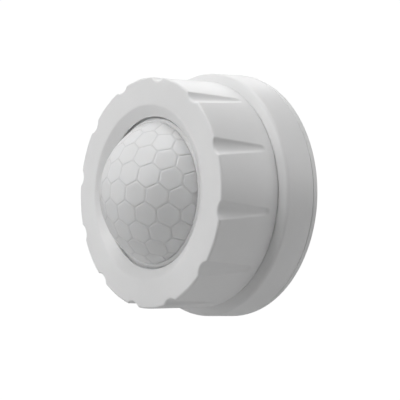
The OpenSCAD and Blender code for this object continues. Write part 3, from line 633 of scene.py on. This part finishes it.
def build_back_plate():
    """The plate and its spigot, with pads, ribs, screw bosses, wall slots and the cable hole."""
    groove_top = SEAL_GROOVE_Z + SEAL_GROOVE_H
    profile = fillet(
        [
            (GROMMET_HOLE_R, GROMMET_RECESS_H, 0.15),
            (GROMMET_RECESS_R, GROMMET_RECESS_H, 0.0),
            (GROMMET_RECESS_R, 0.0, 0.2),
            (MOUNT_GROOVE_IN_R, 0.0, 0.2),
            (MOUNT_GROOVE_IN_R, MOUNT_GROOVE_H, 0.1),
            (MOUNT_GROOVE_OUT_R, MOUNT_GROOVE_H, 0.1),
            (MOUNT_GROOVE_OUT_R, 0.0, 0.2),
            (BASE_R, 0.0, 1.15),
            (BASE_R - 0.08, PLATE_H, 0.28),
            (SPIGOT_R, PLATE_H, 0.2),
            (SPIGOT_R, SEAL_GROOVE_Z, 0.1),
            (SEAL_GROOVE_R, SEAL_GROOVE_Z, 0.1),
            (SEAL_GROOVE_R, groove_top, 0.1),
            (SPIGOT_R, groove_top, 0.1),
            (SPIGOT_R, SPIGOT_H, 0.15),
            (SPIGOT_IN_R, SPIGOT_H, 0.3),
            (SPIGOT_IN_R, PLATE_FLOOR_H, 0.4),
            (GROMMET_HOLE_R, PLATE_FLOOR_H, 0.15),
        ],
        12,
    )
    plate = lathe("back_plate_shell", profile, 288)

    parts = pillars(CASE_SCREW_PCD_R, CASE_SCREW_ANGLES, PLATE_BOSS_R, 1.2, BOSS_SPLIT_Z)
    slot_centres = (-SLOT_X, SLOT_X)
    parts += [prism(box_outline(x, 0, PAD_W, PAD_D, 2), 1.0, PAD_TOP_Z) for x in slot_centres]
    rib_r = RIB_START_R + RIB_L / 2
    parts += [prism(box_outline(rib_r, 0, RIB_L, RIB_W, turn=a), 1.1, RIB_TOP_Z) for a in RIB_ANGLES]
    combine(plate, parts, "UNION")

    end_r = SLOT_W / 2 - 1e-4
    cuts = [prism(box_outline(x, 0, SLOT_L, SLOT_W, end_r), -1, 6) for x in slot_centres]
    cuts += pillars(CASE_SCREW_PCD_R, CASE_SCREW_ANGLES, CASE_SCREW_THREAD_R, 1.0, 8, 32)
    return combine(plate, cuts, "DIFFERENCE")


# ---------------------------------------------------------------- rubber pieces


def build_grommet():
    neck_r = GROMMET_HOLE_R - 0.1
    lip_z = PLATE_FLOOR_H + 0.05
    profile = fillet(
        [
            (CABLE_R, 0.0, 0.3),
            (GROMMET_FLANGE_R, 0.0, 0.3),
            (GROMMET_FLANGE_R, GROMMET_FLANGE_H, 0.2),
            (neck_r, GROMMET_FLANGE_H, 0.0),
            (neck_r, lip_z, 0.0),
            (GROMMET_LIP_R, lip_z, 0.1),
            (GROMMET_LIP_R, GROMMET_H, 0.5),
            (CABLE_R, GROMMET_H, 0.4),
        ],
        15,
    )
    return lathe("grommet_body", profile, 96)


def build_mount_gasket():
    inner, outer, top = MOUNT_GROOVE_IN_R + 0.05, MOUNT_GROOVE_OUT_R - 0.05, MOUNT_GROOVE_H - 0.05
    profile = fillet([(inner, 0.0, 0.35), (outer, 0.0, 0.35), (outer, top, 0.1), (inner, top, 0.1)], 15)
    return lathe("mount_gasket_ring", profile, 192)


def build_base_seal():
    section = circle_outline(SEAL_R, SEAL_GROOVE_Z + SEAL_GROOVE_H / 2, SEAL_SECTION_R, 20)
    return lathe("base_seal_ring", section, 192)


def build_lens_gasket():
    inner, outer = GASKET_SEAT_IN_R + 0.1, GASKET_SEAT_OUT_R - 0.1
    low = NECK_TOP_Z - GASKET_SEAT_DEPTH + 0.05
    top = low + 1.55
    profile = fillet([(inner, low, 0.15), (outer, low, 0.15), (outer, top, 0.15), (inner, top, 0.15)], 20)
    return lathe("lens_gasket_ring", profile, 192)


# ---------------------------------------------------------------- materials

Finish = namedtuple("Finish", "roughness metallic grain_mm grain_depth_mm variation")
CLASS_FINISHES = {
    "matte_plastic": Finish(0.46, 0.0, 0.35, 0.004, 0.020),
    "gloss_plastic": Finish(0.22, 0.0, 0.60, 0.002, 0.030),
    "rubber": Finish(0.78, 0.0, 0.25, 0.012, 0.060),
    "brushed_steel": Finish(0.30, 1.0, 0.15, 0.003, 0.060),
    "brass": Finish(0.26, 1.0, 0.18, 0.002, 0.070),
    "ceramic": Finish(0.40, 0.0, 0.30, 0.003, 0.050),
}
# Slots that need something other than their class's finish
SLOT_FINISHES = {
    "enclosure_plastic": Finish(0.42, 0.0, 0.40, 0.0045, 0.014),
    "collar_plastic": Finish(0.38, 0.0, 0.40, 0.0045, 0.014),
    "lens_plastic": Finish(0.42, 0.0, 0.30, 0.0015, 0.012),
}
SUBSURFACE = {"enclosure_plastic": 0.06, "collar_plastic": 0.06, "lens_plastic": 0.45}
SUBSURFACE_DEPTH = 1.5 * MM
# The bottom of a lens seam is painted shade: the lens colour times this.
SEAM_SHADE_TONE = 0.88  # how light the bottom of a lens seam is beside its facets
DRIFT_MM, PATCH_MM = 14.0, 3.0  # sizes of the slow change of tone and of the patches of roughness
ROUGHNESS_SPREAD = 0.05


def noise(tree, coords, size_mm, detail, seed):
    node = tree.nodes.new("ShaderNodeTexNoise")
    node.noise_dimensions = "4D"
    node.inputs["W"].default_value = seed
    node.inputs["Scale"].default_value = 1 / (size_mm * MM)
    node.inputs["Detail"].default_value = detail
    node.inputs["Roughness"].default_value = 0.55
    tree.links.new(coords, node.inputs["Vector"])
    return node.outputs["Fac"]


def remap(tree, value, low, high):
    """Spreads the middle of a noise, where most of its values are, over low to high."""
    node = tree.nodes.new("ShaderNodeMapRange")
    node.inputs["From Min"].default_value = 0.3
    node.inputs["From Max"].default_value = 0.7
    node.inputs["To Min"].default_value = low
    node.inputs["To Max"].default_value = high
    tree.links.new(value, node.inputs["Value"])
    return node.outputs["Result"]


def color_mix(tree, factor):
    node = tree.nodes.new("ShaderNodeMix")
    node.data_type = "RGBA"
    tree.links.new(factor, node.inputs["Factor"])
    return node


def scaled(color, factor):
    return (*[min(1.0, c * factor) for c in color[:3]], 1)


def surface(slot_name, kind, color, seed):
    """A procedural material: tone that drifts slowly, roughness in patches, a fine grain, and on the lens
    painted shade in the seams.
    """
    finish = SLOT_FINISHES.get(slot_name, CLASS_FINISHES[kind])
    mat = bpy.data.materials.new(slot_name)
    mat.use_nodes = True
    tree = mat.node_tree
    links = tree.links
    shader = tree.nodes["Principled BSDF"]
    coords = tree.nodes.new("ShaderNodeTexCoord").outputs["Object"]
    drift = noise(tree, coords, DRIFT_MM, 3.0, seed)
    patch = noise(tree, coords, PATCH_MM, 4.0, seed + 7.3)
    grain = noise(tree, coords, finish.grain_mm, 3.0, seed + 3.1)

    tone = color_mix(tree, remap(tree, drift, 0.0, 1.0))
    tone.inputs["A"].default_value = scaled(color, 1 - finish.variation)
    tone.inputs["B"].default_value = scaled(color, 1 + finish.variation)
    if slot_name == "lens_plastic":
        # The lines between facets are painted with shade, a little darker than the facets, as well as sunk.
        seam = tree.nodes.new("ShaderNodeAttribute")
        seam.attribute_name = "seam"
        facets = tone
        tone = color_mix(tree, seam.outputs["Fac"])
        links.new(facets.outputs["Result"], tone.inputs["A"])
        tone.inputs["B"].default_value = scaled(color, SEAM_SHADE_TONE)
    links.new(tone.outputs["Result"], shader.inputs["Base Color"])

    rough = remap(tree, patch, finish.roughness - ROUGHNESS_SPREAD, finish.roughness + ROUGHNESS_SPREAD)
    links.new(rough, shader.inputs["Roughness"])
    bump = tree.nodes.new("ShaderNodeBump")
    bump.inputs["Strength"].default_value = 0.6
    bump.inputs["Distance"].default_value = finish.grain_depth_mm * MM
    links.new(grain, bump.inputs["Height"])
    links.new(bump.outputs["Normal"], shader.inputs["Normal"])
    shader.inputs["Metallic"].default_value = finish.metallic
    if slot_name in SUBSURFACE:
        shader.inputs["Subsurface Weight"].default_value = SUBSURFACE[slot_name]
        shader.inputs["Subsurface Radius"].default_value = (1.0, 0.95, 0.9)
        shader.inputs["Subsurface Scale"].default_value = SUBSURFACE_DEPTH
    if kind == "gloss_plastic":
        shader.inputs["Coat Weight"].default_value = 0.3
        shader.inputs["Coat Roughness"].default_value = 0.08
    return mat


def paint(obj, material):
    obj.data.materials.clear()
    obj.data.materials.append(material)


# ---------------------------------------------------------------- pieces


def install(obj, body, node, slot_name):
    """Puts a piece on its body, in place of the CAD node that it stands for."""
    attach(obj, body)
    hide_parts(node)
    paint(obj, materials[slot_name])


record = frame["record"]
materials = {}
for index, entry in enumerate(record["materials"]):
    slot = entry["slot"]
    materials[slot] = surface(slot, entry["class"], entry["base_color"], 10.0 * index)
for part in record["subparts"]:
    paint(frame["nodes"][part["node"]], materials[part["material_slot"]])

install(build_collar(), "collar", "locking_collar", "collar_plastic")
install(build_lens(), "base", "lens_dome", "lens_plastic")
install(build_housing(), "base", "housing", "enclosure_plastic")
install(build_back_plate(), "base", "back_plate", "enclosure_plastic")
install(build_grommet(), "base", "cable_grommet", "seal_rubber")
install(build_mount_gasket(), "base", "mount_gasket", "seal_rubber")
install(build_base_seal(), "base", "base_seal", "seal_rubber")
install(build_lens_gasket(), "base", "lens_gasket", "seal_rubber")

# ---------------------------------------------------------------- stage, lights and camera

CAMERA_AZIMUTH, CAMERA_ELEVATION = 52.6, -2.5
CAMERA_DISTANCE = 0.3338
CAMERA_LENS, SENSOR_WIDTH = 88.9, 36.0
# Where the camera looks, from the collar's front centre: mm to image-right and up
CAMERA_AIM = (18.73, -2.48)
AMBIENT = 0.01
FLOOR_ALBEDO = 0.5
BACKDROP_GLOW, GLOW_SHARE = 1.13, 0.9
# The floor and the backdrop, in metres, before they are turned to face the camera
FLOOR_Z, FLOOR_FRONT_Y = -0.16, -2.4
BACKDROP_Y, BACKDROP_TOP_Z, BACKDROP_HALF_W, BEND_R = 1.6, 3.0, 3.0, 0.7
LIGHT_DISTANCE = 0.75
# Soft lights of a white studio: direction in the row frame, size in m, watts
LIGHTS = {
    "top": ((0.12, -0.09, 1.0), 0.5, 2.45),
    "top_back": ((-0.50, 0.50, 0.75), 0.5, 1.33),
    "top_front": ((0.0, -0.6, 1.0), 0.3, 0.80),
    "front_high": ((0.0, -1.0, 0.6), 0.3, 1.45),
    "front_left": ((-0.33, -1.0, 0.5), 0.3, 0.42),
    "left": ((-0.57, -0.82, 0.15), 0.5, 0.66),
    "far_left": ((-0.93, -0.23, 0.35), 0.5, 0.50),
    "low_left": ((-1.0, -0.7, -0.1), 0.3, 0.28),
    "right": ((0.96, 0.02, 0.3), 0.5, 0.31),
    "right_back": ((0.69, 0.73, 0.3), 0.5, 1.50),
}


def backdrop_material():
    """Pale and plain to every ray, and almost evenly lit to the camera."""
    mat = bpy.data.materials.new("backdrop_pale")
    mat.use_nodes = True
    tree = mat.node_tree
    tree.nodes.clear()
    out = tree.nodes.new("ShaderNodeOutputMaterial")
    diffuse = tree.nodes.new("ShaderNodeBsdfDiffuse")
    diffuse.inputs["Color"].default_value = (FLOOR_ALBEDO, FLOOR_ALBEDO, FLOOR_ALBEDO, 1)
    glow = tree.nodes.new("ShaderNodeEmission")
    glow.inputs["Color"].default_value = (1, 1, 1, 1)
    glow.inputs["Strength"].default_value = BACKDROP_GLOW
    path = tree.nodes.new("ShaderNodeLightPath")
    share = tree.nodes.new("ShaderNodeMath")
    share.operation = "MULTIPLY"
    share.inputs[1].default_value = GLOW_SHARE
    mix = tree.nodes.new("ShaderNodeMixShader")
    tree.links.new(path.outputs["Is Camera Ray"], share.inputs[0])
    tree.links.new(share.outputs[0], mix.inputs["Fac"])
    tree.links.new(diffuse.outputs[0], mix.inputs[1])
    tree.links.new(glow.outputs[0], mix.inputs[2])
    tree.links.new(mix.outputs[0], out.inputs["Surface"])
    return mat


def build_stage():
    """A pale floor that curves up into a pale backdrop, well below the object."""
    bend_y = BACKDROP_Y - BEND_R
    outline = [(FLOOR_FRONT_Y, FLOOR_Z), (bend_y, FLOOR_Z)]
    for k in range(1, 17):
        a = math.pi / 2 * k / 16
        outline.append((bend_y + BEND_R * math.sin(a), FLOOR_Z + BEND_R - BEND_R * math.cos(a)))
    outline.append((BACKDROP_Y, BACKDROP_TOP_Z))
    turn = Matrix.Rotation(math.radians(CAMERA_AZIMUTH), 3, "Z")
    verts = [turn @ Vector((x, y, z)) for x in (-BACKDROP_HALF_W, BACKDROP_HALF_W) for y, z in outline]
    n = len(outline)
    mesh = bpy.data.meshes.new("backdrop")
    mesh.from_pydata(verts, [], [[k, k + 1, n + k + 1, n + k] for k in range(n - 1)])
    for poly in mesh.polygons:
        poly.use_smooth = True
    obj = bpy.data.objects.new("backdrop", mesh)
    bpy.context.scene.collection.objects.link(obj)
    mesh.materials.append(backdrop_material())


def build_world():
    """Nearly no light from the sky, which the camera sees as bright as the backdrop."""
    world = bpy.data.worlds.new("studio")
    bpy.context.scene.world = world
    world.use_nodes = True
    tree = world.node_tree
    background = tree.nodes["Background"]
    path = tree.nodes.new("ShaderNodeLightPath")
    level = tree.nodes.new("ShaderNodeMapRange")
    level.inputs["To Min"].default_value = AMBIENT
    level.inputs["To Max"].default_value = BACKDROP_GLOW
    tree.links.new(path.outputs["Is Camera Ray"], level.inputs["Value"])
    tree.links.new(level.outputs["Result"], background.inputs["Strength"])
    background.inputs["Color"].default_value = (1, 1, 1, 1)


def area_light(name, direction, size, watts):
    """A soft square light that shines on the object's middle from a direction in the row frame."""
    data = bpy.data.lights.new(name, "AREA")
    data.shape = "SQUARE"
    data.size = size
    data.energy = watts
    obj = bpy.data.objects.new(name, data)
    away = Vector(direction).normalized()
    obj.location = Vector((0, -FRONT_Z / 2 * MM, 0)) + away * LIGHT_DISTANCE
    obj.rotation_mode = "QUATERNION"
    obj.rotation_quaternion = away.to_track_quat("Z", "Y")
    obj.visible_camera = False
    bpy.context.scene.collection.objects.link(obj)


def build_camera():
    """A camera that looks past the collar's front centre, kept level."""
    a, e = math.radians(CAMERA_AZIMUTH), math.radians(CAMERA_ELEVATION)
    back = Vector((math.sin(a) * math.cos(e), -math.cos(a) * math.cos(e), math.sin(e)))
    right = Vector((math.cos(a), math.sin(a), 0))
    up = back.cross(right)
    data = bpy.data.cameras.new("camera")
    data.sensor_width = SENSOR_WIDTH
    data.lens = CAMERA_LENS
    obj = bpy.data.objects.new("camera", data)
    front = Vector((0, -FRONT_Z * MM, 0))
    obj.location = front + back * CAMERA_DISTANCE
    aim = front + (right * CAMERA_AIM[0] + up * CAMERA_AIM[1]) * MM
    # A camera looks along its own -Z, with its own +Y up.
    axis_z = (obj.location - aim).normalized()
    axis_y = axis_z.cross(right).normalized()
    axes = Matrix((axis_y.cross(axis_z), axis_y, axis_z)).transposed()
    obj.rotation_mode = "QUATERNION"
    obj.rotation_quaternion = axes.to_quaternion()
    bpy.context.scene.collection.objects.link(obj)
    bpy.context.scene.camera = obj


build_stage()
build_world()
for light_name, (direction, size, watts) in LIGHTS.items():
    area_light(light_name, direction, size, watts)
build_camera()
bpy.context.scene.view_settings.view_transform = "Standard"
